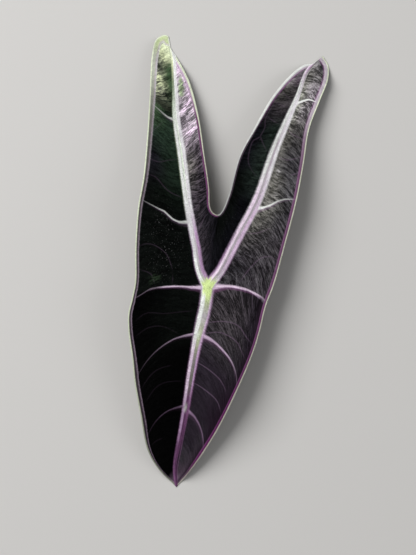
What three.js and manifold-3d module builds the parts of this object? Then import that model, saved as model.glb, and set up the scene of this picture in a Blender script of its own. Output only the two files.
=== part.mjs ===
// A single picked leaf of Alocasia longiloba, lying face up on its three tips.
// The dark blade is one solid. The pale midrib, its two back ribs, their side ribs and the short
// cut stalk grew together, so they are the other solid, seated in slots that follow them.
// Millimetres. +Z is up, -Y runs down the midrib to the tip and +Y to the two back lobes.
import * as THREE from "three";
import { mergeVertices } from "three/addons/utils/BufferGeometryUtils.js";
import Module from "manifold-3d";

const wasm = await Module();
wasm.setup();

// The blade as a sheet
const bladeThickness = 0.8;
const archHeight = 20; // how high the junction of the ribs stands above the tips
const flatFrom = 0.955; // past this share of a rib its tip lies flat
const liftHeight = 12; // how far the blade would rise from a rib if it were very wide
const liftReach = 30; // how far out it has made most of that height
const quiltHeight = 1.2; // how far the blade swells between two side ribs
const waveHeight = 3.2; // the waves, strongest at the margin
const waveLength = 84;
const stepsAcross = 8;

// The ribs and the stalk
const seatGap = 0.3;
const mainRib = { widths: [8, 1.6], crowns: [0.7, 0.3], keels: [4, 0.4], until: 0.94, sides: 8 };
const sideRib = { widths: [2.4, 1.1], crowns: [0.4, 0.2], keels: [0.7, 0.3], until: 0.94, sides: 6 };
const stalk = { radii: [3.2, 3.9], steps: 9, sides: 10 };

// Landmarks of the outline, seen from above and measured from the junction of the ribs
const junction = [0, 0];
const bladeTip = [-1.5, -162];
const leftLobeTip = [-59, 191.5];
const rightLobeTip = [64.5, 196];
const notch = [0, 58];
const leftElbow = [-58, -17];
const rightElbow = [47.5, -11];

// Each margin is one line, and it is shared at the point named middle by two sectors of the blade.
const margins = {
  left: {
    middle: leftElbow,
    points: [bladeTip, [-18, -149], [-28.5, -135], [-38, -108], [-46, -84], [-51, -64], [-57, -43], [-59, -30],
      leftElbow, [-57.5, -4], [-61, 22], [-63.5, 54], [-63, 80], [-65, 115], [-67.5, 144], [-70.5, 177],
      [-69, 190], [-63, 194.5], [-59.5, 193.5], leftLobeTip],
  },
  right: {
    middle: rightElbow,
    points: [bladeTip, [4, -153.5], [13, -137], [24, -112], [35, -78], [43, -48], [46, -30], rightElbow,
      [52, 10], [56, 41], [60, 77], [61.5, 108], [62, 136], [67, 159], [71.3, 178], [70, 189], rightLobeTip],
  },
  inner: {
    middle: notch,
    points: [leftLobeTip, [-57.5, 186], [-51, 178.5], [-38.5, 161], [-27.5, 136], [-18, 105], [-10, 78],
      [-7, 63], [-4, 59], notch, [2.5, 61], [6, 74], [10, 106], [18, 129], [29, 157], [42, 178], [51, 187],
      [57.5, 189], rightLobeTip],
  },
};

const ribLine = {
  midrib: [junction, [-0.2, -14], [-2.5, -42], [-3.7, -70], [-4, -98], [-4.9, -124], [-4.3, -146], bladeTip],
  leftBack: [junction, [-9, 16], [-21, 49], [-29, 78], [-36, 102], [-43, 127], [-49, 152], [-55.5, 175],
    leftLobeTip],
  rightBack: [junction, [9, 18], [20, 46], [29.5, 73], [36.5, 114], [43, 137], [50, 160], [55.5, 182],
    rightLobeTip],
};

const planCurve = (points) =>
  new THREE.CatmullRomCurve3(points.map(([x, y]) => new THREE.Vector3(x, y, 0)), false, "centripetal");

// The half of a margin from its middle point to one of its ends, with shares counted from the middle.
function halfMargin({ middle, points }, towardsEnd) {
  const curve = planCurve(points);
  const spans = points.length - 1;
  const lengths = curve.getLengths(40 * spans);
  const middleAt = lengths[40 * points.indexOf(middle)] / lengths.at(-1);
  const reach = towardsEnd ? 1 - middleAt : -middleAt;
  return (share) => curve.getPointAt(middleAt + reach * share);
}

// Each rib carries two sectors of blade. Rows run from a rib to the margin along the side veins:
// gather says how far they lean towards the tip, and bow how much they curve, as [share of rib, curve].
// In a mirrored sector the rows run clockwise, so its triangles are turned round.
const ribs = [
  { name: "midrib", sideRibsAt: [0.245, 0.61], steps: [6, 8, 8, 1] },
  { name: "leftBack", sideRibsAt: [0.265, 0.67], steps: [6, 9, 8, 1] },
  { name: "rightBack", sideRibsAt: [0.35, 0.78], steps: [8, 10, 5, 1] },
].map((rib) => ({ ...rib, curve: planCurve(ribLine[rib.name]) }));
const [midrib, leftBack, rightBack] = ribs;
for (const rib of ribs) rib.samples = rib.curve.getSpacedPoints(60);

const sectors = [
  { rib: midrib, edge: halfMargin(margins.left, false), gather: 0.65, veined: true, mirrored: true,
    bow: [[0, -0.17], [0.25, -0.27], [1, -0.38]] },
  { rib: midrib, edge: halfMargin(margins.right, false), gather: 0.55, veined: true, mirrored: false,
    bow: [[0, 0.33], [0.25, 0.4], [0.6, 0.32], [1, 0.32]] },
  { rib: leftBack, edge: halfMargin(margins.left, true), gather: 0.85, veined: true, mirrored: false,
    bow: [[0, -0.17], [0.25, 0.1], [1, 0.05]] },
  { rib: rightBack, edge: halfMargin(margins.right, true), gather: 0.81, veined: true, mirrored: true,
    bow: [[0, 0.33], [0.34, 0.05], [1, 0.3]] },
  { rib: leftBack, edge: halfMargin(margins.inner, false), gather: 1.7, veined: false, mirrored: true,
    bow: [[0, 0], [0.3, -0.1], [1, -0.1]] },
  { rib: rightBack, edge: halfMargin(margins.inner, true), gather: 1.7, veined: false, mirrored: false,
    bow: [[0, 0], [0.3, 0.1], [1, 0.1]] },
];

// A value read from [share, value] pairs by straight lines between them.
function between(pairs, share) {
  const next = pairs.findIndex(([at]) => at >= share);
  if (next <= 0) return pairs[Math.max(next, 0)][1];
  const [[x0, y0], [x1, y1]] = [pairs[next - 1], pairs[next]];
  return y0 + ((y1 - y0) * (share - x0)) / (x1 - x0);
}

// Height of a rib's line: an arch from the junction down to a tip that lies flat.
const arch = (along) => archHeight * Math.max(0, 1 - (along / flatFrom) ** 2) ** 1.5;

// Swelling between side ribs: zero on each of them, one midway.
function quilt(rib, along) {
  const stops = [0, ...rib.sideRibsAt, 1];
  const cell = stops.findIndex((stop) => stop > along) - 1;
  if (cell < 0) return 0;
  return Math.sin((Math.PI * (along - stops[cell])) / (stops[cell + 1] - stops[cell])) ** 2;
}

// How far a point of the plan is from a rib, along the shortest way.
function distanceTo(rib, point) {
  const nearest = new THREE.Vector3();
  const span = new THREE.Line3();
  let best = Infinity;
  for (let i = 0; i + 1 < rib.samples.length; i++) {
    span.set(rib.samples[i], rib.samples[i + 1]).closestPointToPoint(point, true, nearest);
    best = Math.min(best, nearest.distanceTo(point));
  }
  return best;
}

// The middle of the blade's thickness, at a share along the rib and a share across to the margin.
// It is the arch, and a lift that grows with the distance from every rib: product of 1 - exp(-d / reach).
function bladePoint(sector, along, across) {
  const root = sector.rib.curve.getPointAt(along);
  const edge = sector.edge(along ** sector.gather);
  const reach = edge.clone().sub(root);
  const control = root.clone().add(edge).multiplyScalar(0.5);
  control.add(new THREE.Vector3(-reach.y, reach.x, 0).multiplyScalar(between(sector.bow, along)));
  const point = new THREE.QuadraticBezierCurve3(root, control, edge).getPoint(across);
  const tipFade = 1 - THREE.MathUtils.smoothstep(along, 0.86, flatFrom);
  const lift = ribs.reduce((product, rib) => product * (1 - Math.exp(-distanceTo(rib, point) / liftReach)), 1);
  const swell = quiltHeight * quilt(sector.rib, along) * Math.sin(Math.PI * across);
  const turn = (2 * Math.PI) / waveLength;
  const wave = waveHeight * lift ** 2 * Math.sin(turn * (point.y + 0.35 * point.x) + 0.6);
  point.z = bladeThickness / 2 + arch(along) + tipFade * (liftHeight * lift + swell + wave);
  return point;
}

// A closed solid from triangles given as points, with doubles merged and empty triangles left out.
function solidFrom(corners) {
  const loose = new THREE.BufferGeometry();
  loose.setAttribute("position", new THREE.Float32BufferAttribute(corners.flatMap((p) => [p.x, p.y, p.z]), 3));
  const merged = mergeVertices(loose, 2e-3);
  const kept = [];
  for (let i = 0; i < merged.index.count; i += 3) {
    const [a, b, c] = merged.index.array.slice(i, i + 3);
    if (a !== b && b !== c && c !== a) kept.push(a, b, c);
  }
  const mesh = { numProp: 3, vertProperties: merged.attributes.position.array, triVerts: new Uint32Array(kept) };
  return new wasm.Manifold(new wasm.Mesh(mesh));
}

// Shares along a rib, with one on each of its side ribs and one where its tip starts to lie flat.
function stationsAlong(rib) {
  const stops = [0, ...rib.sideRibsAt, flatFrom, 1];
  const stations = [0];
  rib.steps.forEach((count, cell) => {
    for (let i = 1; i <= count; i++) {
      stations.push(stops[cell] + ((stops[cell + 1] - stops[cell]) * i) / count);
    }
  });
  return stations;
}

// The blade: every sector's upper and lower face, split into triangles alike, and its margin.
function makeBlade() {
  const corners = [];
  const half = new THREE.Vector3(0, 0, bladeThickness / 2);
  for (const sector of sectors) {
    const rows = stationsAlong(sector.rib).map((along) =>
      Array.from({ length: stepsAcross + 1 }, (_, j) => bladePoint(sector, along, j / stepsAcross)),
    );
    const face = (a, b, c) => corners.push(...(sector.mirrored ? [a, c, b] : [a, b, c]));
    for (let i = 0; i + 1 < rows.length; i++) {
      for (let j = 0; j < stepsAcross; j++) {
        const quad = [rows[i][j], rows[i + 1][j], rows[i + 1][j + 1], rows[i][j + 1]];
        const [a, b, c, d] = quad.map((p) => p.clone().add(half));
        const [e, f, g, h] = quad.map((p) => p.clone().sub(half));
        face(a, b, c);
        face(a, c, d);
        face(e, g, f);
        face(e, h, g);
        if (j + 1 === stepsAcross) {
          face(d, c, g);
          face(d, g, h);
        }
      }
    }
  }
  return solidFrom(corners);
}

// A solid carried along rings of points, closed at both ends.
function loft(rings) {
  const corners = [];
  const count = rings[0].length;
  const centre = (ring) => ring.reduce((sum, p) => sum.add(p), new THREE.Vector3()).divideScalar(count);
  const [first, last] = [centre(rings[0]), centre(rings.at(-1))];
  for (let k = 0; k < count; k++) {
    const next = (k + 1) % count;
    corners.push(first, rings[0][k], rings[0][next], last, rings.at(-1)[next], rings.at(-1)[k]);
    for (let i = 0; i + 1 < rings.length; i++) {
      const [a, b] = [rings[i], rings[i + 1]];
      corners.push(a[k], b[next], a[next], a[k], b[k], b[next]);
    }
  }
  return solidFrom(corners);
}

// Rings round a path of points, each upright to it. A ring is [half width, height above, depth below].
function ringsAlong(path, sizes, sides) {
  const up = new THREE.Vector3(0, 0, 1);
  return path.map((point, i) => {
    const ahead = path[Math.min(i + 1, path.length - 1)];
    const behind = path[Math.max(i - 1, 0)];
    const forward = ahead.clone().sub(behind).normalize();
    const side = forward.clone().cross(up).normalize();
    const crown = side.clone().cross(forward);
    const [halfWidth, above, below] = sizes[i];
    return Array.from({ length: sides }, (_, k) => {
      const angle = (2 * Math.PI * k) / sides;
      const rise = Math.sin(angle) * (Math.sin(angle) > 0 ? above : below);
      return point
        .clone()
        .addScaledVector(side, halfWidth * Math.cos(angle))
        .addScaledVector(crown, rise);
    });
  });
}

// One rib along points of the blade: a low crown on top and a rounder keel below.
// The last part of a keel is pressed flat on the surface that the leaf lies on.
function makeRib(points, size, extra) {
  const half = bladeThickness / 2;
  const taper = ([start, end], i) => end + (start - end) * (1 - i / (points.length - 1)) ** 0.85;
  const sizes = points.map((_, i) => [
    taper(size.widths, i) / 2 + extra,
    half + taper(size.crowns, i) + extra,
    half + taper(size.keels, i) + extra,
  ]);
  const rings = ringsAlong(points, sizes, size.sides);
  for (const point of rings.flat()) point.z = Math.max(point.z, -extra);
  return loft(rings);
}

// The cut stalk: it leaves the junction under the blade, towards the notch and down.
function makeStalk(extra) {
  const top = arch(0) + bladeThickness / 2;
  const path = new THREE.CatmullRomCurve3([
    new THREE.Vector3(0, -9, top - 2.1),
    new THREE.Vector3(0, 2, top - 2.6),
    new THREE.Vector3(-0.4, 14, top - 7),
    new THREE.Vector3(-1.2, 26, top - 11.2),
    new THREE.Vector3(-2, 38, top - 14),
  ]);
  const points = path.getSpacedPoints(stalk.steps);
  const [first, last] = stalk.radii;
  const sizes = points.map((_, i) => Array(3).fill(first + ((last - first) * i) / stalk.steps + extra));
  return loft(ringsAlong(points, sizes, stalk.sides));
}

// Stalk, main ribs and side ribs as one body; extra widens them all, to cut their seat.
function makeStalkAndRibs(extra) {
  let body = makeStalk(extra);
  for (const rib of ribs) {
    const sector = sectors.find((s) => s.rib === rib);
    const shares = stationsAlong(rib).filter((along) => along < mainRib.until);
    const points = [...shares, mainRib.until].map((along) => bladePoint(sector, along, 0));
    body = body.add(makeRib(points, mainRib, extra));
  }
  for (const sector of sectors.filter((s) => s.veined)) {
    // The side rib at the junction is shared with the next sector, so the front ones carry it.
    const starts = sector.rib === midrib ? [0, ...sector.rib.sideRibsAt] : sector.rib.sideRibsAt;
    for (const along of starts) {
      const points = Array.from({ length: 9 }, (_, i) => bladePoint(sector, along, (sideRib.until * i) / 8));
      body = body.add(makeRib(points, sideRib, extra));
    }
  }
  return body;
}

// The largest body of a cut solid, without loose scraps.
const largest = (solid) => solid.decompose().sort((a, b) => b.volume() - a.volume())[0];

function meshOf(solid, name, material) {
  const { numProp, vertProperties, triVerts } = solid.getMesh();
  const geometry = new THREE.BufferGeometry();
  geometry.setAttribute("position", new THREE.BufferAttribute(vertProperties, numProp));
  geometry.setIndex(new THREE.BufferAttribute(triVerts, 1));
  geometry.computeVertexNormals();
  const mesh = new THREE.Mesh(geometry, material);
  mesh.name = name;
  return mesh;
}

const bladeGreen = new THREE.MeshStandardMaterial({ color: 0x10201a, roughness: 0.38, metalness: 0 });
const ribSilver = new THREE.MeshStandardMaterial({ color: 0xcfdcc0, roughness: 0.5, metalness: 0 });

const leaf = new THREE.Group();
leaf.add(meshOf(largest(makeBlade().subtract(makeStalkAndRibs(seatGap))), "leaf_blade", bladeGreen));
leaf.add(meshOf(largest(makeStalkAndRibs(0)), "stalk_and_ribs", ribSilver));

// The origin is under the middle of the leaf, on the surface that it lies on.
const middle = new THREE.Box3().setFromObject(leaf).getCenter(new THREE.Vector3());
leaf.position.set(-middle.x, -middle.y, 0);

export default leaf;
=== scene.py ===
from math import radians
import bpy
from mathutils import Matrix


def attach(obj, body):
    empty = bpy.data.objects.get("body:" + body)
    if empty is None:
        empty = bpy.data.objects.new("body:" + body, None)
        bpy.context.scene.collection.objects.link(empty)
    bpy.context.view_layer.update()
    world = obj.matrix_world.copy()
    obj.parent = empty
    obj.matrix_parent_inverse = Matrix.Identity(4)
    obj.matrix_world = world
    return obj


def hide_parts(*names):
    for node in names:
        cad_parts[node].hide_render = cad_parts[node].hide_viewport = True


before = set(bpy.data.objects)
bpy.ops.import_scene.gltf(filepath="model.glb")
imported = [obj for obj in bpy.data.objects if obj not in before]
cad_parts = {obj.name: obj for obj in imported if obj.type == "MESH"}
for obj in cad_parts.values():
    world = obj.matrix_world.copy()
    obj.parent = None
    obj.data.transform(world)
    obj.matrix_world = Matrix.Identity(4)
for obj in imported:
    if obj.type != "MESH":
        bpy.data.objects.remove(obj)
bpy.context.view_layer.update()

from types import SimpleNamespace

import bpy
import numpy as np
from mathutils import Vector

# One picked leaf of Alocasia longiloba, lying face up on its three tips.
# The shape is worked out in millimetres from the junction of the ribs, then centred and put in metres.

leafPlan = {
    "midrib": [(0, 0), (0.2, -14), (-2.1, -42), (-3.3, -70), (-3.6, -98), (-4.5, -124), (-4.5, -146),
               (-1.5, -162)],
    "leftBack": [(0, 0), (-9.3, 16), (-20.8, 49), (-29.2, 78), (-36, 102), (-43.3, 127), (-48.4, 152),
                 (-54, 175.5), (-59, 191.5)],
    "rightBack": [(0, 0), (8.8, 18), (19.1, 46.3), (28.6, 73.2), (36.3, 114), (42.6, 137.1), (49, 160.3),
                  (54, 182.4), (64.5, 196)],
    "leftMargin": [(-1.5, -162), (-18, -149), (-28.5, -135), (-38, -108), (-46, -84), (-51, -64), (-57, -43),
                   (-59, -30), (-58, -17), (-57.5, -4), (-61, 22), (-63.5, 54), (-63, 80), (-65, 115),
                   (-67.5, 144), (-70.5, 177), (-69, 190), (-63, 194.5), (-59.5, 193.5), (-59, 191.5)],
    "rightMargin": [(-1.5, -162), (4, -153.5), (13, -137), (24, -112), (35, -78), (43, -48), (46, -30),
                    (48, -8.5), (52, 10), (56, 41), (60, 77), (61.5, 108), (62, 136), (67, 159), (71.3, 178),
                    (70, 189), (64.5, 196)],
    "innerMargin": [(-59, 191.5), (-57.5, 186), (-51, 178.5), (-38.5, 161), (-27.5, 136), (-18, 105),
                    (-10, 78), (-7, 63), (-4, 59), (0, 58), (2.5, 61), (6, 74), (10, 106), (18, 129),
                    (29, 157), (42, 178), (51, 187), (57.5, 189), (64.5, 196)],
    "middles": {"leftMargin": 8, "rightMargin": 7, "innerMargin": 9},  # where two sectors share a margin
}

leafForm = {
    "thickness": 0.6,
    "rim": 0.35,            # radius of the rounded edge
    "archHeight": 20,
    "flatFrom": 0.955,      # past this share of a rib its tip lies flat
    "fadeFrom": 0.86,       # from this share on the lift, the swelling and the waves fade
    "liftHeight": 12,
    "liftReach": 30,
    "quiltHeight": 1.2,
    "waveHeight": 3.2,
    "waveLength": 84,
    "waveLean": 0.35,
    "waveStart": 0.6,
    "solidHalf": 0.4,       # half of the CAD blade's thickness, which the heights are counted from
    "folds": [(1.6, 12, 0.2), (3.4, 9, 0.28)],  # small folds along the veins: (width, length, height)
    # the folds fade out near these, towards the first value of each
    "calm": {"rib": (0.9, 1.8), "margin": (1, 4), "sideRib": (0.5, 2.5), "tip": (0.97, 0.9)},
    "tooFar": 40.0,         # distances to side ribs and veins end here
    "sunk": 0.14,           # how far the blade sinks below a main rib
    "dustAt": (0.17, 0.5),  # share of rib, share across
    "dustReach": (0.13, 0.3),
}

# halfWidths are half of the pale band and offsets how far the band lies right of the rib's line, both as
# (share of rib, mm). rows are the mesh's rows from stop to stop. Crowns and keels are heights at the junction
# and at the tip. sideShifts are how far the junction's side ribs stray from their row, left and right.
ribForm = {
    "midrib": {
        "sideRibsAt": (0.245, 0.61), "rows": (76, 94, 92, 10), "crowd": 1.5,
        "halfWidths": [(0, 5.0), (0.07, 4.9), (0.16, 4.8), (0.35, 3.8), (0.54, 3.25), (0.71, 2.6),
                       (0.85, 2.25), (1, 1.2)],
        "offsets": [(0, 0), (0.1, 0.3), (0.54, 0.35), (0.71, 0.45), (0.83, 0.15), (0.93, -0.4), (1, 0)]},
    "leftBack": {
        "sideRibsAt": (0.265, 0.67), "rows": (100, 130, 104, 12), "crowd": 1.15,
        "halfWidths": [(0, 4.6), (0.07, 3.5), (0.35, 3.2), (0.54, 3.5), (0.71, 2.9), (0.83, 2.0),
                       (0.93, 2.2), (1, 1.4)],
        "offsets": [(0, 0), (0.07, -0.5), (0.16, 1.2), (0.35, 0), (0.54, 0.2), (0.71, -0.3), (0.83, -0.1),
                    (0.93, 1.0), (1, 0.6)]},
    "rightBack": {
        "sideRibsAt": (0.35, 0.78), "rows": (126, 138, 70, 12), "crowd": 1.15,
        "halfWidths": [(0, 4.6), (0.07, 3.9), (0.35, 4.0), (0.54, 3.7), (0.71, 2.9), (0.83, 1.75),
                       (0.93, 1.6), (1, 1)],
        "offsets": [(0, 0), (0.07, 0.8), (0.16, 0.3), (0.35, 0.2), (0.54, 0.6), (0.71, 0.2), (0.83, 0),
                    (0.93, 0), (1, -0.3)]},
    "crowns": (0.9, 0.25),
    "keels": (4.0, 0.3),
    "sideCrowns": (0.45, 0.1),
    "sideKeels": (0.8, 0.2),
    "sideHalfWidths": (1.4, 0.6),
    "sideShifts": {
        -1: [(0, 1.2), (0.2, 1.9), (0.5, 0.6), (0.75, -0.8), (0.9, 1.2)],
        1: [(0, 1.2), (0.2, 1.5), (0.5, 0.8), (0.75, -0.9), (0.9, -2.4)]},
}

# Each sector of the blade runs from one rib to one margin. towards is the way along the margin from its
# middle. gather is how far the rows lean to the tip, bow how much they curve, as (share of rib, curve).
# leans are how far the two side ribs stray from their rows, as (share across, share of rib).
# pale is how pale the side ribs are, from the junction's to the second, as (share across, tone).
# As (share of rib, value): slant is how much the small folds lean back to the junction, the fold strength how
# strong the folds' painted shade and highlight show, mottled how blotched the blade is, edge how pale the
# edge line is, band how pale the lines beside it.
# bandWidth is where those lines end, in mm. veins and specks are how much of them shows.
# spots are single blotches: (share of rib, share across, reach in each, how pale, how green).
leftJunctionRib = [(0, 1), (0.1, 1), (0.3, 0.7), (0.45, 0.85), (0.57, 0.7), (0.66, 0.2), (1, 0.06)]
rightJunctionRib = [(0, 1), (0.15, 1), (0.3, 0.85), (0.42, 1), (0.6, 0.8), (0.75, 0.85), (0.92, 0.3),
                    (1, 0.1)]
plainSector = {"leans": None, "pale": ([(0, 0)],) * 3, "mottled": [(0, 0)], "specks": 0.0, "spots": [],
               "spotTilt": 0}
leafSectors = {
    "frontLeft": {
        "rib": "midrib", "margin": "leftMargin", "towards": -1, "gather": 0.65, "side": -1,
        "mirrored": True, "bow": [(0, -0.17), (0.25, -0.27), (1, -0.38)],
        "leans": ([(0, -0.012), (0.3, -0.014), (0.56, -0.004), (0.88, 0.012), (1, 0.01)],
                  [(0, -0.016), (0.3, -0.019), (0.56, -0.014), (0.8, -0.007), (1, -0.004)]),
        "pale": (leftJunctionRib,
                 [(0, 0.9), (0.15, 0.5), (0.4, 0.3), (0.6, 0.13), (0.8, 0.05), (1, 0.03)],
                 [(0, 0.6), (0.12, 0.2), (0.4, 0.13), (0.7, 0.05), (1, 0.02)]), "slant": [(0, 0.3)],
        "rough": [(0, 0.5)], "edge": [(0, 0.75), (0.3, 0.7), (0.5, 0.55), (0.8, 0.35), (1, 0.3)],
        "band": [(0, 0.06), (1, 0)],
        "bandWidth": [(0, 3.0), (0.25, 3.6), (0.55, 3.4), (0.8, 1.8), (1, 1.5)], "veins": 0.012},
    "frontRight": {
        "rib": "midrib", "margin": "rightMargin", "towards": -1, "gather": 0.55, "side": 1,
        "mirrored": False, "bow": [(0, 0.33), (0.25, 0.4), (0.6, 0.32), (1, 0.32)],
        "leans": ([(0, -0.011), (0.16, -0.011), (0.4, -0.005), (0.56, -0.009), (0.8, -0.017), (1, -0.017)],
                  [(0, -0.003), (0.24, 0.002), (0.48, 0.014), (0.72, 0.026), (1, 0.045)]),
        "pale": (rightJunctionRib,
                 [(0, 1), (0.2, 0.7), (0.35, 0.85), (0.6, 0.5), (0.8, 0.14), (1, 0.1)],
                 [(0, 0.9), (0.15, 0.4), (0.5, 0.3), (0.8, 0.2), (1, 0.12)]),
        "slant": [(0, -0.8), (0.15, -0.7), (0.3, -0.2)],
        "rough": [(0, 1.2), (0.15, 1.1), (0.25, 0.8), (0.36, 0.35), (1, 0.3)],
        "edge": [(0, 0.55), (0.5, 0.5), (0.7, 0.4), (0.85, 0.3), (1, 0.5)],
        "band": [(0, 0.05), (0.3, 0), (0.8, 0), (1, 0.15)],
        "bandWidth": [(0, 2.6), (0.3, 2.6), (0.5, 2.8), (0.7, 2.9), (0.85, 2), (1, 1.6)], "veins": 0.09,
        "specks": 0.12},
    "outerLeft": {
        "rib": "leftBack", "margin": "leftMargin", "towards": 1, "gather": 0.85, "side": -1,
        "mirrored": False, "bow": [(0, -0.17), (0.25, 0.1), (1, 0.05)],
        "leans": ([(0, 0.002), (0.2, -0.005), (0.32, 0.002), (0.48, 0.024), (0.72, 0.03), (1, 0.034)],
                  [(0, 0.003), (0.3, -0.005), (0.64, -0.001), (1, 0)]),
        "pale": (leftJunctionRib,
                 [(0, 1), (0.12, 0.6), (0.4, 0.7), (0.6, 0.45), (0.8, 0.2), (1, 0.05)],
                 [(0, 1), (0.2, 0.75), (0.45, 0.4), (0.6, 0.3), (1, 0.12)]),
        "slant": [(0, 0.2), (0.64, 0.2), (0.74, 0.9)],
        "rough": [(0, 0.6), (0.65, 0.7), (0.75, 0.75), (0.9, 0.45)],
        "mottled": [(0, 0), (0.69, 0), (0.75, 0.35), (0.88, 0.3), (0.94, 0.05)],
        "edge": [(0, 0.75), (0.3, 0.9), (0.5, 1)], "band": [(0, 0.06), (0.4, 0.12), (0.6, 0.3), (0.8, 1)],
        "bandWidth": [(0, 2.8), (0.19, 2.8), (0.43, 3.6), (0.8, 4.2), (0.9, 4.6)], "veins": 0.03,
        "specks": 0.3,
        "spots": [(0.9, 0.55, 0.025, 0.25, 1, 0), (0.79, 0.6, 0.022, 0.2, 0.9, 0),
                  (0.735, 0.7, 0.018, 0.18, 0.5, 0), (0.842, 0.7, 0.016, 0.3, -0.7, 0),
                  (0.85, 0.13, 0.05, 0.2, 0, 1), (0.76, 0.1, 0.06, 0.2, -0.6, 0.3),
                  (0.7, 0.4, 0.02, 0.4, -0.8, 0), (0.03, 0.7, 0.025, 0.15, 0, 0.2)]},
    "outerRight": {
        "rib": "rightBack", "margin": "rightMargin", "towards": 1, "gather": 0.81, "side": 1,
        "mirrored": True, "bow": [(0, 0.33), (0.34, 0.05), (1, 0.3)],
        "leans": ([(0, -0.005), (0.24, -0.015), (0.4, -0.012), (0.56, 0), (0.72, 0.003), (1, -0.004)],
                  [(0, -0.001), (0.16, -0.008), (0.6, -0.004), (0.8, -0.011), (1, -0.017)]),
        "pale": (rightJunctionRib,
                 [(0, 1), (0.3, 0.9), (0.5, 0.65), (0.6, 0.4), (0.75, 0.42), (1, 0.15)],
                 [(0, 1), (0.2, 0.85), (0.5, 0.9), (0.8, 0.85), (1, 0.6)]),
        "slant": [(0, 0.9), (0.6, 0.9), (0.8, 0.5)],
        "rough": [(0, 1.1), (0.3, 1), (0.6, 0.9), (0.7, 1.2), (1, 1.2)],
        "mottled": [(0, 0.05), (0.3, 0.05), (0.37, 0.12), (0.46, 0.05), (0.66, 0.05), (0.74, 0.15),
                    (0.9, 0.12)], "edge": [(0, 0.6), (0.5, 0.7), (0.78, 1), (1, 1)],
        "band": [(0, 0.08), (0.45, 0.12), (0.6, 0.35), (0.7, 0.8), (0.85, 1)],
        "bandWidth": [(0, 2.8), (0.4, 2.9), (0.64, 3.1), (0.87, 3.5)], "veins": 0.07,
        "spots": [(0.47, 0.35, 0.03, 0.12, 0.2, 0), (0.28, 0.36, 0.025, 0.2, -0.35, 0),
                  (0.06, 0.39, 0.03, 0.25, -0.45, 0), (0.93, 0.64, 0.03, 0.2, -0.6, 0),
                  (0.2, 0.53, 0.02, 0.15, -0.35, 0)]},
    "innerLeft": {
        "rib": "leftBack", "margin": "innerMargin", "towards": -1, "gather": 1.7, "side": 1,
        "mirrored": True, "bow": [(0, 0), (0.3, -0.1), (1, -0.1)],
        "slant": [(0, 0.4), (0.36, 0.3), (0.5, -0.6), (0.6, -0.9)], "spotTilt": 0.1,
        "rough": [(0, 0.8), (0.5, 1.2), (0.75, 1), (0.9, 0.5)],
        "mottled": [(0, 0), (0.45, 0.05), (0.57, 0.15), (0.66, 0.45), (0.76, 0.5), (0.86, 0.2), (0.92, 0)],
        "edge": [(0, 0.45), (0.35, 0.4), (0.6, 0.75), (0.85, 1)], "band": [(0, 0), (0.7, 0.05), (0.9, 1)],
        "bandWidth": [(0, 1.8), (0.5, 2.2), (0.8, 2.6)], "veins": 0.03,
        "spots": [(0.815, 0.4, 0.04, 0.2, 0, 0.85), (0.9, 0.5, 0.035, 0.4, 1, 0),
                  (0.8, 0.85, 0.08, 0.15, 0.9, 0), (0.74, 0.5, 0.022, 0.3, 0.8, 0),
                  (0.64, 0.6, 0.028, 0.3, 0.55, 0), (0.69, 0.3, 0.02, 0.25, -0.6, 0),
                  (0.68, 0.75, 0.015, 0.2, -0.5, 0), (0.56, 0.4, 0.03, 0.4, -0.4, 0)]},
    "innerRight": {
        "rib": "rightBack", "margin": "innerMargin", "towards": 1, "gather": 1.7, "side": -1,
        "mirrored": False, "bow": [(0, 0), (0.3, 0.1), (1, 0.1)], "slant": [(0, 0.4)], "rough": [(0, 0.8)],
        "mottled": [(0, 0), (0.75, 0), (0.87, 0.3), (1, 0.3)], "edge": [(0, 0.5), (0.5, 0.6), (0.72, 1)],
        "band": [(0, 0), (0.7, 0.03), (0.82, 0.35), (0.93, 1)],
        "bandWidth": [(0, 1.8), (0.65, 2), (0.78, 2.2), (0.95, 3)], "veins": 0.04, "specks": 0.1,
        "spots": [(0.9, 0.75, 0.05, 0.25, 0.5, 0)]},
}
leafSectors = {name: {**plainSector, **sector} for name, sector in leafSectors.items()}

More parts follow.
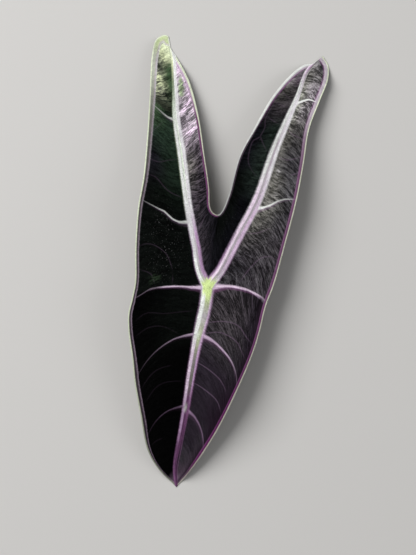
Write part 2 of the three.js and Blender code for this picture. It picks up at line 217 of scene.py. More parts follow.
# The fine veins that show, each through a few places given as (share of rib, share across).
fineVeins = {
    "frontLeft": [
        [(0.115, 0.1), (0.09, 0.46), (0.05, 0.74), (0.052, 0.9)],
        [(0.21, 0.26), (0.14, 0.5), (0.107, 0.7), (0.098, 0.92)],
        [(0.463, 0.1), (0.422, 0.53), (0.43, 0.8)], [(0.36, 0.3), (0.335, 0.6), (0.34, 0.9)],
        [(0.715, 0.48), (0.68, 0.83)]],
    "frontRight": [
        [(0.17, 0.05), (0.12, 0.3), (0.092, 0.53), (0.088, 0.71), (0.068, 0.92)],
        [(0.223, 0.06), (0.182, 0.24), (0.163, 0.4), (0.145, 0.61), (0.145, 0.69), (0.13, 0.9)],
        [(0.367, 0.05), (0.362, 0.32), (0.352, 0.51), (0.345, 0.72)],
        [(0.468, 0.05), (0.455, 0.36), (0.432, 0.63), (0.422, 0.85)]],
    "outerLeft": [
        [(0.007, 0.46), (0.058, 0.44), (0.11, 0.48), (0.145, 0.64), (0.15, 0.82), (0.138, 0.94)],
        [(0.018, 0.71), (0.045, 0.76), (0.065, 0.92)],
        [(0.455, 0.92), (0.463, 0.65), (0.49, 0.37), (0.515, 0.05)], [(0.565, 0.84), (0.63, 0.5)],
        [(0.36, 0.1), (0.37, 0.4), (0.4, 0.7), (0.395, 0.92)]],
    "outerRight": [
        [(0.015, 0.48), (0.058, 0.53), (0.103, 0.63), (0.122, 0.79), (0.118, 0.93)],
        [(0.68, 0.05), (0.625, 0.49), (0.6, 0.8), (0.593, 0.93)],
        [(0.542, 0.24), (0.515, 0.55), (0.52, 0.93)], [(0.448, 0.72), (0.455, 0.93)],
        [(0.23, 0.1), (0.215, 0.4), (0.23, 0.62)]],
    "innerRight": [
        [(0.835, 0.79), (0.8, 0.85), (0.753, 0.8), (0.705, 0.8), (0.66, 0.66), (0.628, 0.67),
         (0.593, 0.82), (0.547, 0.76), (0.512, 0.68), (0.48, 0.45), (0.465, 0.2)],
        [(0.628, 0.67), (0.6, 0.44), (0.573, 0.2)], [(0.708, 0.75), (0.693, 0.25)],
        [(0.77, 0.8), (0.763, 0.2)], [(0.815, 0.8), (0.797, 0.25)]],
    "innerLeft": [
        [(0.2, 0.2), (0.22, 0.8)], [(0.3, 0.15), (0.33, 0.85)], [(0.45, 0.1), (0.5, 0.9)],
        [(0.66, 0.1), (0.63, 0.5), (0.66, 0.9)]],
}


# A smooth line through points: centripetal Catmull-Rom, cut fine, with the length reached at each step.
def lineThrough(points, steps=60):
    p = np.array(points, float)
    p = np.vstack([2 * p[0] - p[1], p, 2 * p[-1] - p[-2]])
    t = np.linspace(0, 1, steps, endpoint=False)[:, None]
    parts = []
    for p0, p1, p2, p3 in zip(p[:-3], p[1:-2], p[2:-1], p[3:]):
        a, b, c = (np.linalg.norm(q - r) ** 0.5 for q, r in ((p1, p0), (p2, p1), (p3, p2)))
        m1 = ((p1 - p0) / a - (p2 - p0) / (a + b) + (p2 - p1) / b) * b
        m2 = ((p2 - p1) / b - (p3 - p1) / (b + c) + (p3 - p2) / c) * b
        parts.append((2 * t**3 - 3 * t**2 + 1) * p1 + (t**3 - 2 * t**2 + t) * m1
                     + (3 * t**2 - 2 * t**3) * p2 + (t**3 - t**2) * m2)
    line = np.vstack(parts + [p[-2][None]])
    reached = np.r_[0, np.cumsum(np.linalg.norm(np.diff(line, axis=0), axis=1))]
    return {"line": line, "reached": reached, "length": reached[-1], "steps": steps}


def pointAt(curve, share):
    length = share * curve["length"]
    return np.stack([np.interp(length, curve["reached"], curve["line"][:, k]) for k in (0, 1)], -1)


# The value at a place, between the two nearest of a list of (place, value).
def between(place, stops):
    return np.interp(place, *zip(*stops))


# Distance from points to a line of short straight spans: the least over all spans,
# signed by the side that the nearest span has it on, and the share of the line where that is.
def distanceTo(line, points):
    start, span = line[:-1], np.diff(line, axis=0)
    flat = points.reshape(-1, 1, 2) - start
    along = np.clip((flat * span).sum(-1) / (span**2).sum(-1), 0, 1)
    away = flat - along[..., None] * span
    far = np.linalg.norm(away, axis=-1)
    best = far.argmin(1)
    rows = np.arange(len(far))
    turn = span[best, 0] * away[rows, best, 1] - span[best, 1] * away[rows, best, 0]
    share = (best + along[rows, best]) / len(span)
    return tuple(a.reshape(points.shape[:-1]) for a in (far[rows, best], np.sign(turn), share))


def smoothStep(x, low, high):
    t = np.clip((x - low) / (high - low), 0, 1)
    return t * t * (3 - 2 * t)


# Smooth noise between -1 and 1 from a lattice of seeded random values, blended over each cell.
def softNoise(x, y, seed):
    lattice = np.random.default_rng(seed).random((64, 64)) * 2 - 1
    i, j = np.floor(x).astype(int), np.floor(y).astype(int)
    a, b = smoothStep(x - i, 0, 1), smoothStep(y - j, 0, 1)
    low, high = (lattice[i % 64, j2 % 64] * (1 - a) + lattice[(i + 1) % 64, j2 % 64] * a for j2 in (j, j + 1))
    return low * (1 - b) + high * b


ribNames = ("midrib", "leftBack", "rightBack")
layers = ["sheet", "edges", "sideRibs", "pale", "fine", "tones", "bands", "spots", "zone", "part"]
curves = {name: lineThrough(points) for name, points in leafPlan.items() if name != "middles"}
ribSpans = {name: pointAt(curves[name], np.linspace(0, 1, 81)) for name in ribNames}
outlinePoints = np.vstack([curves[name]["line"] for name in ("leftMargin", "rightMargin", "innerMargin")])
leafMiddle = (outlinePoints.min(0) + outlinePoints.max(0)) / 2


# Plan of a sector: each row is a quadratic curve from the rib to the margin.
def planAt(sector, u, v):
    margin = curves[sector["margin"]]
    middle = margin["reached"][leafPlan["middles"][sector["margin"]] * margin["steps"]] / margin["length"]
    reach = 1 - middle if sector["towards"] > 0 else -middle
    root = pointAt(curves[sector["rib"]], u)
    edge = pointAt(margin, middle + reach * u ** sector["gather"])
    chord = edge - root
    aside = np.stack([-chord[..., 1], chord[..., 0]], -1)
    control = (root + edge) / 2 + between(u, sector["bow"])[..., None] * aside
    v = v[..., None]
    return (1 - v) ** 2 * root + 2 * v * (1 - v) * control + v**2 * edge


# Rows lean so that the side ribs lie on them: each lean fades to nothing at the next stop.
def leaned(sector, g, v):
    if not sector["leans"]:
        return g + 0 * v
    first, second = ribForm[sector["rib"]]["sideRibsAt"]
    leans = [between(v, lean) for lean in sector["leans"]]
    return (g + np.interp(g, (0, first, second), (0, 1, 0)) * leans[0]
            + np.interp(g, (first, second, leafForm["flatFrom"]), (0, 1, 0)) * leans[1])


# Height of the middle of the blade: an arch along the rib, a lift that is the product of 1 - exp(-d / reach)
# over the three ribs, a swelling between side ribs, and waves that grow with the lift.
def heightAt(sector, u, v, plan, toRibs):
    form = leafForm
    lift = np.prod([1 - np.exp(-far / form["liftReach"]) for far in toRibs], axis=0)
    stops = np.array([0, *ribForm[sector["rib"]]["sideRibsAt"], 1])
    cell = np.clip(np.searchsorted(stops, u, side="right") - 1, 0, 2)
    swell = np.sin(np.pi * (u - stops[cell]) / (stops[cell + 1] - stops[cell])) ** 2 * np.sin(np.pi * v)
    crest = plan[..., 1] + form["waveLean"] * plan[..., 0]
    wave = np.sin(2 * np.pi / form["waveLength"] * crest + form["waveStart"])
    fade = 1 - smoothStep(u, form["fadeFrom"], form["flatFrom"])
    arch = form["archHeight"] * np.maximum(0, 1 - (u / form["flatFrom"]) ** 2) ** 1.5
    return form["solidHalf"] + arch + fade * (
        form["liftHeight"] * lift + form["quiltHeight"] * swell + form["waveHeight"] * lift**2 * wave)


def stopRow(sector, stop):
    v = np.linspace(0, 1, 40)
    return planAt(sector, leaned(sector, np.full(40, float(stop)), v), v)


# Signed distances to the three side ribs of a sector.
def toSideRibs(sector, plan, v):
    distances = np.full(plan.shape[:-1] + (3,), leafForm["tooFar"])
    if sector["leans"]:
        for k, stop in enumerate((0, *ribForm[sector["rib"]]["sideRibsAt"])):
            far, turn, _ = distanceTo(stopRow(sector, stop), plan)
            sign = np.where(turn == 0, 1, turn) * -sector["side"]
            distances[..., k] = np.minimum(far, leafForm["tooFar"]) * sign
        distances[..., 0] -= between(v, ribForm["sideShifts"][sector["side"]])
    return distances


# The nearest fine vein: its distance, the side that it is on, and the share of the vein there.
def toFineVein(name, plan):
    nearest = tuple(np.full(plan.shape[:-1], value) for value in (leafForm["tooFar"], 1.0, 1.0))
    for places in fineVeins[name]:
        course = lineThrough(places, 8)["line"]
        found = distanceTo(planAt(leafSectors[name], course[:, 0], course[:, 1]), plan)
        closer = found[0] < nearest[0]
        nearest = tuple(np.where(closer, new, old) for new, old in zip(found, nearest))
    return nearest


# Everything about places on a sector: where they are, how high, and the values that the material reads.
# g and v are arrays of one shape: a place's row and its share across.
def leafSheet(name, g, v):
    sector = leafSectors[name]
    u = leaned(sector, g, v)
    plan = planAt(sector, u, v)
    ribDistances = [distanceTo(ribSpans[n], plan) for n in ribNames]
    shares = []
    for n, (far, turn, at) in zip(ribNames, ribDistances):
        toRight = far * turn * (1 if n == "midrib" else -1) - between(at, ribForm[n]["offsets"])
        shares.append(toRight / between(at, ribForm[n]["halfWidths"]))
    rightOfRib = np.where(shares[ribNames.index(sector["rib"])] < 0, -1, 1)
    shares = np.abs(shares)
    ribShare = shares.min(0)
    crown = sum((np.interp(at, (0, 1), ribForm["crowns"]) * np.cos(np.pi / 2 * np.minimum(s, 1)) ** 2) ** 4
                for s, (_, _, at) in zip(shares, ribDistances)) ** 0.25
    toMargin = np.where(v > 0.9999, 0, distanceTo(curves[sector["margin"]]["line"][::6], plan)[0])
    sideRibs = toSideRibs(sector, plan, v)
    nearVein, veinTurn, veinAt = toFineVein(name, plan)

    along = g * curves[sector["rib"]]["length"] + 0 * v
    rowStart, rowEnd = (planAt(sector, u, np.full(v.shape, end)) for end in (0.0, 1.0))
    across = v * np.linalg.norm(rowEnd - rowStart, axis=-1)
    along = along + between(u, sector["slant"]) * across
    calm = leafForm["calm"]
    free = smoothStep(ribShare, *calm["rib"]) * smoothStep(toMargin, *calm["margin"])
    free = free * smoothStep(np.abs(sideRibs).min(-1), *calm["sideRib"]) * smoothStep(u, *calm["tip"])
    seed = 10 * ribNames.index(sector["rib"]) + sector["side"] + 5
    folds = sum(height * softNoise(along / width, across / length, seed + k)
                for k, (width, length, height) in enumerate(leafForm["folds"]))
    middle = heightAt(sector, u, v, plan, [far for far, _, _ in ribDistances]) + free * folds

    pale = [between(v, stops) for stops in sector["pale"]]
    mottled, edge, band, bandWidth, rough = (
        between(u, sector[key]) for key in ("mottled", "edge", "band", "bandWidth", "rough"))
    spotPale, spotGreen = np.zeros(u.shape), np.zeros(u.shape)
    for atU, atV, reachU, reachV, howPale, howGreen in sector["spots"]:
        offU = (u - atU - sector["spotTilt"] * (v - atV)) / reachU
        blot = np.exp(-offU**2 - ((v - atV) / reachV) ** 2)
        spotPale, spotGreen = spotPale + howPale * blot, spotGreen + howGreen * blot
    dust = sum(((place - at) / reach) ** 2
               for place, at, reach in zip((u, v), leafForm["dustAt"], leafForm["dustReach"]))
    veinPale = sector["veins"] * smoothStep(veinAt, -0.05, 0.1) * smoothStep(veinAt, 1.2, 0.6)
    zone = [sector["side"] * float(sector["rib"] == n) for n in ribNames]
    return {
        "plan": plan, "middle": middle, "crown": crown, "ribShare": ribShare, "toMargin": toMargin, "u": u,
        "sheet": np.stack([along, across, v + 0 * g], -1),
        "edges": np.stack([ribShare * rightOfRib, toMargin, u], -1),
        "sideRibs": sideRibs,
        "pale": np.stack(pale, -1) + 0 * plan[..., :1],
        "fine": np.stack([nearVein * veinTurn, nearVein, veinPale], -1),
        "tones": np.stack([mottled * smoothStep(v, 0, 0.3), edge, band], -1),
        "bands": np.stack([3 * toMargin / bandWidth, rough, sector["specks"] * np.exp(-dust)], -1),
        "spots": np.stack([spotPale, spotGreen, 0 * u], -1),
        "zone": np.broadcast_to(zone, plan.shape[:-1] + (3,)),
    }


# A face of the leaf ready for a mesh: points at a height over the sheet, in metres, and its values.
def faceOf(sheet, z, upper, turned):
    points = np.dstack([sheet["plan"] - leafMiddle, np.maximum(z, 0)]) / 1000
    part = np.zeros(z.shape + (3,)) + (float(upper), 0, 0)
    return {"points": points, "turned": turned, "part": part, **{key: sheet[key] for key in layers[:-1]}}


# Rows along a rib, closer together at its side ribs.
def rowsOf(ribName, lastShare=1.0):
    form = ribForm[ribName]
    stops = [0, *form["sideRibsAt"], leafForm["flatFrom"], lastShare]
    rows = [np.zeros(1)]
    for i, count in enumerate(form["rows"]):
        s = np.linspace(0, 1, count + 1)[1:]
        rows.append(stops[i] + (stops[i + 1] - stops[i]) * (s ** form["crowd"] if i == 0 else s))
    return np.concatenate(rows)[:, None]


# Columns of the blade's mesh: how many lie on the rib, between, in the margin's bands and round the rim.
bladeColumns = {
    "upper": {"wide": (6, 16, 9, 4), "inner": (6, 10, 8, 4)},
    "lower": {"wide": (2, 5, 2, 4), "inner": (2, 3, 2, 4)},
    "ribPart": 6.5,         # mm at the junction
    "ribTaper": 0.7,
    "ribMost": 0.36,        # share of the row
    "bandPart": 5.0,
    "bandMost": 0.3,
    "rimMost": 0.05,
}


def rowWidths(sector, g):
    root, middle, edge = (planAt(sector, leaned(sector, g, g * 0 + v), g * 0 + v)[:, 0] for v in (0, 0.5, 1))
    width = np.linalg.norm(middle - root, axis=1) + np.linalg.norm(edge - middle, axis=1)
    return np.maximum(width, 1e-3)[:, None]


# Columns across a row: closer together on the rib, in the margin's bands and round the rim.
def columnsOf(g, width, counts):
    form = bladeColumns
    ribPart = np.minimum(form["ribPart"] * (1 - form["ribTaper"] * g), form["ribMost"] * width)
    bandPart = np.minimum(form["bandPart"], form["bandMost"] * width)
    rimPart = np.minimum(leafForm["rim"], form["rimMost"] * width)
    onRib, inside, onBand, onRim = counts
    part = lambda start, end, count: start + (end - start) * np.arange(count) / count
    rim = width - rimPart + rimPart * np.sin(np.pi / 2 * np.arange(onRim + 1) / onRim)  # even steps round it
    return np.hstack([part(0 * g, ribPart, onRib), part(ribPart, width - bandPart, inside),
                      part(width - bandPart, width - rimPart, onBand), rim]) / width


def bladeFace(name, upper):
    sector = leafSectors[name]
    g = rowsOf(sector["rib"])
    kind = "inner" if sector["margin"] == "innerMargin" else "wide"
    v = columnsOf(g, rowWidths(sector, g), bladeColumns["upper" if upper else "lower"][kind])
    sheet = leafSheet(name, g + 0 * v, v)
    rimShare = np.minimum(sheet["toMargin"] / leafForm["rim"], 1)
    half = leafForm["thickness"] / 2 * np.sqrt(1 - (1 - rimShare) ** 2)
    sunk = leafForm["sunk"] * smoothStep(sheet["ribShare"], 0.95, 0.7) * smoothStep(sheet["u"], 0.97, 0.93)
    z = sheet["middle"] + half - sunk if upper else sheet["middle"] - half
    return faceOf(sheet, z, upper, sector["mirrored"] == upper)


def placed(name, data, location=(0, 0, 0), rotation=(0, 0, 0)):
    thing = bpy.data.objects.new(name, data)
    thing.location, thing.rotation_euler = location, rotation
    bpy.context.scene.collection.objects.link(thing)
    return thing


# Puts grids of points into one closed mesh: doubles are merged, and quads that shrank at a tip become
# triangles. Each corner keeps the values of its own grid, so they may jump from one sector to the next.
def meshFromGrids(name, grids):
    points, quads, start = [], [], 0
    for grid in grids:
        rows, columns = grid["points"].shape[:2]
        index = start + np.arange(rows * columns).reshape(rows, columns)
        quad = np.stack([index[:-1, :-1], index[1:, :-1], index[1:, 1:], index[:-1, 1:]], -1).reshape(-1, 4)
        quads.append(quad[:, ::-1] if grid["turned"] else quad)
        points.append(grid["points"].reshape(-1, 3))
        start += rows * columns
    points, quads = np.vstack(points), np.vstack(quads)
    halfMicrons = np.round(points * 2e6).astype(np.int64)
    _, first, merged = np.unique(halfMicrons, axis=0, return_index=True, return_inverse=True)
    merged = merged.reshape(-1)
    corners = merged[quads]
    keep = corners != np.roll(corners, -1, axis=1)
    whole = (keep.sum(1) >= 3) & (corners[:, 0] != corners[:, 2]) & (corners[:, 1] != corners[:, 3])
    quads, keep = quads[whole], keep[whole]
    sizes = keep.sum(1)
    loops = quads[keep]

    mesh = bpy.data.meshes.new(name)
    mesh.vertices.add(len(first))
    mesh.vertices.foreach_set("co", points[first].ravel())
    mesh.loops.add(len(loops))
    mesh.loops.foreach_set("vertex_index", merged[loops])
    mesh.polygons.add(len(sizes))
    mesh.polygons.foreach_set("loop_start", np.cumsum(sizes) - sizes)
    mesh.polygons.foreach_set("use_smooth", np.ones(len(sizes), bool))
    mesh.update(calc_edges=True)
    for layer in layers:
        values = np.vstack([np.asarray(grid[layer], float).reshape(-1, 3) for grid in grids])[loops]
        mesh.attributes.new(layer, "FLOAT_VECTOR", "CORNER").data.foreach_set("vector", values.ravel())
    print(name + ":", sum(len(p.vertices) - 2 for p in mesh.polygons), "triangles")
    return placed(name, mesh)


blade = meshFromGrids("blade", [bladeFace(name, upper) for upper in (True, False) for name in leafSectors])

# The ribs and the cut stalk grew together. Main ribs: on each side of a rib a strip follows the blade as far
# as the pale band goes. Its crown rises as cos squared from the band's edge, and its keel hangs below.
overlap = 0.03  # mm that a rib shares with the blade
mainStrip = {
    "until": 0.985,         # share of the rib
    "columns": {True: 11, False: 7},  # on the upper side and below
    "spread": 1.12,         # the strip's width, as a share of the pale band's
    "leastReach": 0.6,
    "flare": 2.4,           # wider at the junction
    "flareLength": 0.02,
    "mostAcross": 0.7,
    "taper": 0.03,
    "keelWidth": 0.75,
}
sideStrip = {
    "from": 0.01,           # shares across
    "until": 0.94,
    "rows": 70,
    "columns": {True: 13, False: 9},
    "taper": 0.04,
    "endWidth": 0.3,
    "step": 0.004,          # share of the rib over which the rows' spacing is measured
}
stalkForm = {
    # x and y in the plan, z from the blade at the junction
    "path": [(0, -9, -4.4), (0, 2, -4.2), (-0.4, 14, -7.4), (-1.2, 26, -11.2), (-2, 38, -14)],
    "radii": (3.2, 3.9),
    "stations": 60,
    "sides": 40,
    "capRows": 14,
}


def ribFace(name, upper):
    sector = leafSectors[name]
    rib = ribForm[sector["rib"]]
    last = mainStrip["until"]
    g = rowsOf(sector["rib"], last)
    probe = np.linspace(0, 1, 60)[None] + 0 * g
    plan = planAt(sector, leaned(sector, g + 0 * probe, probe), probe)
    away = np.min([distanceTo(ribSpans[n], plan)[0] for n in ribNames], axis=0)
    away = np.maximum.accumulate(away, axis=1)
    halfWidth, offset = (between(g[:, 0], rib[key]) for key in ("halfWidths", "offsets"))
    reach = mainStrip["spread"] * halfWidth + sector["side"] * offset
    flare = mainStrip["flare"] * np.exp(-g[:, 0] / mainStrip["flareLength"])
    reach = np.maximum(reach, mainStrip["leastReach"]) + flare
    limit = np.array([np.interp(r, a, probe[0]) for r, a in zip(reach, away)])[:, None]
    v = np.minimum(limit, mainStrip["mostAcross"]) * np.linspace(0, 1, mainStrip["columns"][upper])[None]
    sheet = leafSheet(name, g + 0 * v, v)
    half = leafForm["thickness"] / 2 - overlap
    end = np.sqrt(np.clip((last - g) / mainStrip["taper"], 0, 1))
    if upper:
        z = sheet["middle"] + end * (half + sheet["crown"])
    else:
        keel = np.interp(g, (0, 1), ribForm["keels"]) * (1 - g) ** 0.3
        hang = np.cos(np.pi / 2 * np.minimum(sheet["ribShare"] / mainStrip["keelWidth"], 1)) ** 1.2
        z = sheet["middle"] - end * (half + keel * hang)
    wall = {key: np.concatenate([value, value[:, -1:]], 1) for key, value in sheet.items()}
    return faceOf(wall, np.hstack([z, sheet["middle"][:, -1:]]), upper, sector["mirrored"] == upper)


# Side ribs: a flat ribbon on a row of the blade, its crown and keel as cos squared over the width.
def sideRibFace(ahead, behind, stop, upper):
    atJunction = stop == 0
    v = np.linspace(sideStrip["from"], sideStrip["until"], sideStrip["rows"])[:, None]
    end = np.sqrt(np.clip((sideStrip["until"] - v) / sideStrip["taper"], 0, 1))
    width = sideStrip["endWidth"] + (1 - sideStrip["endWidth"]) * end
    halfWidth = np.interp(v, (0, 1), ribForm["sideHalfWidths"]) * width
    offsets = np.linspace(-1, 1, sideStrip["columns"][upper])[None] * (1 if upper else -1)
    sheets = []
    for name, sign in ((ahead, 1), (behind, -1)):
        sector = leafSectors[name]
        near = stop + sideStrip["step"] * (1 if atJunction else sign)
        onRow, beside = (planAt(sector, leaned(sector, row + 0 * v, v), v)[:, 0] for row in (stop, near))
        way = np.gradient(onRow, axis=0)
        way /= np.linalg.norm(way, axis=1)[:, None]
        aside = beside - onRow
        gap = np.abs(way[:, 0] * aside[:, 1] - way[:, 1] * aside[:, 0])[:, None]
        shift = between(v, ribForm["sideShifts"][sector["side"]]) if atJunction else 0
        share = sideStrip["step"] * (offsets * halfWidth + shift) / np.maximum(gap, 1e-3)
        g = stop + (np.abs(share) if atJunction else share)
        sheets.append(leafSheet(name, np.clip(g, 0, 1), v + 0 * g))
    pick = offsets * halfWidth + shift >= 0
    sheet = {key: np.where(pick if value.ndim == 2 else pick[..., None], value, sheets[1][key])
             for key, value in sheets[0].items()}
    half = leafForm["thickness"] / 2 - overlap
    bulge = np.cos(np.pi / 2 * offsets) ** 2 * end
    height = half + np.interp(v, (0, 1), ribForm["sideCrowns" if upper else "sideKeels"]) * bulge
    return sheet, sheet["middle"] + (height if upper else -height)


def sideRibGrid(ahead, behind, stop):
    top, topZ = sideRibFace(ahead, behind, stop, True)
    low, lowZ = sideRibFace(ahead, behind, stop, False)
    ring = {key: np.concatenate([top[key], low[key], top[key][:, :1]], 1) for key in top}
    z = np.hstack([topZ, lowZ, topZ[:, :1]])
    ring = {key: np.concatenate([value[:1], value, value[-1:]], 0) for key, value in ring.items()}
    z = np.vstack([z[:1], z, z[-1:]])
    for row in (0, -1):  # the ends close on their middle points
        ring["plan"][row] = ring["plan"][row].mean(0)
        z[row] = z[row].mean()
    grid = faceOf(ring, z, True, False)
    grid["part"][:, topZ.shape[1]:, 0] = 0
    return grid


# An oval ring is carried along a path: each point is path + side * r * cos(t) + up * r * sin(t).
def stalkGrid():
    knots = np.array(stalkForm["path"], float) + (0, 0, leafForm["archHeight"] + leafForm["solidHalf"])
    share = np.linspace(0, 1, stalkForm["stations"])
    fit = np.polynomial.polynomial.polyfit(np.linspace(0, 1, len(knots)), knots, 3)
    path = np.stack([np.polynomial.polynomial.polyval(share, fit[:, k]) for k in range(3)], -1)
    radius = np.interp(share, (0, 1), stalkForm["radii"])[:, None, None]
    forward = np.gradient(path, axis=0)
    forward /= np.linalg.norm(forward, axis=1)[:, None]
    side = np.cross(forward, (0, 0, 1))
    side /= np.linalg.norm(side, axis=1)[:, None]
    up = np.cross(side, forward)
    t = np.linspace(0, 2 * np.pi, stalkForm["sides"] + 1)[None, :, None]
    rings = path[:, None] + radius * (side[:, None] * np.cos(t) + up[:, None] * np.sin(t))
    shrink = np.sin(np.linspace(0, np.pi / 2, stalkForm["capRows"]))[:, None, None]
    firstCap = path[0] + (rings[0] - path[0]) * shrink[:-1]
    lastCap = path[-1] + (rings[-1] - path[-1]) * shrink[::-1][1:]
    rings = np.vstack([firstCap, rings, lastCap])
    rings[:, -1] = rings[:, 0]
    points = np.dstack([rings[..., :2] - leafMiddle, np.maximum(rings[..., 2], 0)]) / 1000
    part = np.zeros(rings.shape)
    part[..., 1] = 1
    part[..., 2] = np.linspace(0, 1, len(rings))[:, None]
    blank = {key: np.zeros(rings.shape) for key in layers[:-1]}
    return {"points": points, "turned": False, "part": part, **blank}


mainGrids = [ribFace(name, upper) for upper in (True, False) for name in leafSectors]
pairs = [("frontLeft", "outerLeft", 0), ("frontRight", "outerRight", 0)]
for name, sector in leafSectors.items():
    if sector["leans"]:
        pairs += [(name, name, stop) for stop in ribForm[sector["rib"]]["sideRibsAt"]]
sideGrids = [sideRibGrid(*pair) for pair in pairs]
ribsAndStalk = meshFromGrids("ribsAndStalk", mainGrids + sideGrids + [stalkGrid()])


# A socket of a material. Sums and products of sockets and numbers add Math nodes.
class Wire:
    def __init__(self, tree, socket=None):
        self.tree, self.socket = tree, socket

    def node(self, kind, settings=None, sockets=None, out=0):
        made = self.tree.nodes.new("ShaderNode" + kind)
        for name, value in (settings or {}).items():
            if name == "stops":
                elements = made.color_ramp.elements
                while len(elements) < len(value):
                    elements.new(0.5)
                for element, (place, colour) in zip(elements, value):
                    element.position, element.color = place, colour
            else:
                setattr(made, name, value)
        for name, value in (sockets or {}).items():
            if isinstance(value, Wire):
                self.tree.links.new(value.socket, made.inputs[name])
            else:
                made.inputs[name].default_value = value
        return Wire(self.tree, made.outputs[out])

    def maths(self, operation, *values):
        return self.node("Math", {"operation": operation}, dict(enumerate(values)))

    def __add__(self, other): return self.maths("ADD", self, other)
    def __radd__(self, other): return self.maths("ADD", other, self)
    def __sub__(self, other): return self.maths("SUBTRACT", self, other)
    def __rsub__(self, other): return self.maths("SUBTRACT", other, self)
    def __mul__(self, other): return self.maths("MULTIPLY", self, other)
    def __rmul__(self, other): return self.maths("MULTIPLY", other, self)
    def __truediv__(self, other): return self.maths("DIVIDE", self, other)
    def __abs__(self): return self.maths("ABSOLUTE", self)
    def atLeast(self, low): return self.maths("MAXIMUM", self, low)

    # 0 below low, 1 above high, smooth between; low above high turns it round.
    def rise(self, low, high):
        return self.node("MapRange", {"interpolation_type": "SMOOTHSTEP"},
                         {"Value": self, "From Min": low, "From Max": high})

    # 1 at centre, 0 further away than width.
    def band(self, centre, width):
        return abs(self - centre).rise(width, 0.0)

    def mix(self, first, second):  # this factor between two colours
        return self.node("Mix", {"data_type": "RGBA"}, {0: self, 6: first, 7: second}, out=2)

    def dim(self, factor):  # a colour times a grey
        grey = self.node("CombineColor", {}, {0: factor, 1: factor, 2: factor})
        settings = {"data_type": "RGBA", "blend_type": "MULTIPLY"}
        return self.node("Mix", settings, {0: 1.0, 6: self, 7: grey}, out=2)

    # tones are a tone's name and the places where the ramp has it.
    def ramp(self, tones):
        stops = [(place, tone[name]) for name, *places in tones for place in places]
        return self.node("ValToRGB", {"stops": stops}, {0: self})

    def parts(self):
        split = self.node("SeparateXYZ", {}, {0: self}).socket.node
        return [Wire(self.tree, socket) for socket in split.outputs]

    def noise(self, scale, detail, distortion=0.0):
        return self.node("TexNoise", {}, {"Vector": self, "Scale": scale, "Detail": detail, "Roughness": 0.6,
                                          "Distortion": distortion})


def startMaterial(name):
    material = bpy.data.materials.new(name)
    material.use_nodes = True
    material.node_tree.nodes.clear()
    return material, Wire(material.node_tree)


def finishMaterial(shader):
    output = shader.tree.nodes.new("ShaderNodeOutputMaterial")
    shader.tree.links.new(shader.socket, output.inputs["Surface"])


# A colour written as it looks on a screen, turned into the linear value that a shader takes.
def paint(code):
    screen = [int(code[i:i + 2], 16) / 255 for i in (0, 2, 4)]
    return tuple(c / 12.92 if c <= 0.04045 else ((c + 0.055) / 1.055) ** 2.4 for c in screen) + (1.0,)


tone = {name: paint(code) for name, code in {
    "night": "020202", "soot": "0a0d0b", "coal": "0f0f14", "ink": "1a191f", "plum": "28222a",
    "shade": "353036", "smoke": "433e42", "dusk": "3c383c", "slate": "2f2d31", "umber": "4c4948",
    "olive": "6e6c65", "ash": "999c8c", "bottle": "252e29", "pine": "223025", "moss": "2c3c30",
    "leafGreen": "50684a", "fern": "647859", "bark": "34382e", "dull": "8c8d80", "stoneGreen": "aeb09e",
    "cream": "e2eabe", "paleCream": "e9f2cc", "mauve": "463a45", "heather": "6e5c6c", "rose": "8e868c",
    "lilacGrey": "b4aeb2", "dove": "a69ea4", "blush": "e6cfe4", "pearl": "eceee6", "darkPurple": "221722",
    "white": "f0f2ee", "silver": "d9d6d9", "stone": "b8b2b6", "greenWhite": "d6e0cf",
    "paleLilac": "d2b8d2", "pinkWhite": "f4e0f2", "lilac": "b695b8", "purple": "7a5277",
    "violet": "5d3a5a", "yellowGreen": "e0f5a6", "greenGrey": "b4bc98", "sage": "8c9b7c", "core": "7d7775",
    "edgeCream": "e4ecd0", "bandPurple": "2f222e", "bandWine": "5c2054", "paleBand": "c2b8c0",
    "greenBand": "bcc0b0", "greenTip": "d2e0ae", "magenta": "8a5488", "wine": "4a1526",
    "wineDark": "2c0c18", "paleRib": "a9b58a", "stalkGreen": "7f8f60", "stalkDark": "4c3a40",
    "cut": "cfd3a8",
}.items()}

# Noise that runs out from the ribs with the veins.
# Each is (scale along the rib, scale across, seed, detail, distortion).
veinNoise = {
    "ripples": (0.5, 0.09, 0.0, 2.0, 1.0),
    "curls": (0.8, 0.3, 21.0, 1.0, 2.0),
    "cracks": (0.4, 0.1, 47.0, 1.0, 1.5),
    "teeth": (1.1, 0.2, 5.0, 2.0, 0.0),
    "patches": (0.09, 0.09, 9.0, 2.0, 0.0),
    "grit": (1.3, 1.2, 2.0, 2.0, 0.0),
    "clouds": (0.22, 0.08, 14.0, 2.0, 1.5),
    "streaks": (0.5, 0.03, 33.0, 2.0, 0.0),
    "dust": (1.2, 1.2, 41.0, 2.0, 0.0),
    "comb": (1.0, 0.1, 61.0, 2.0, 0.0),
}


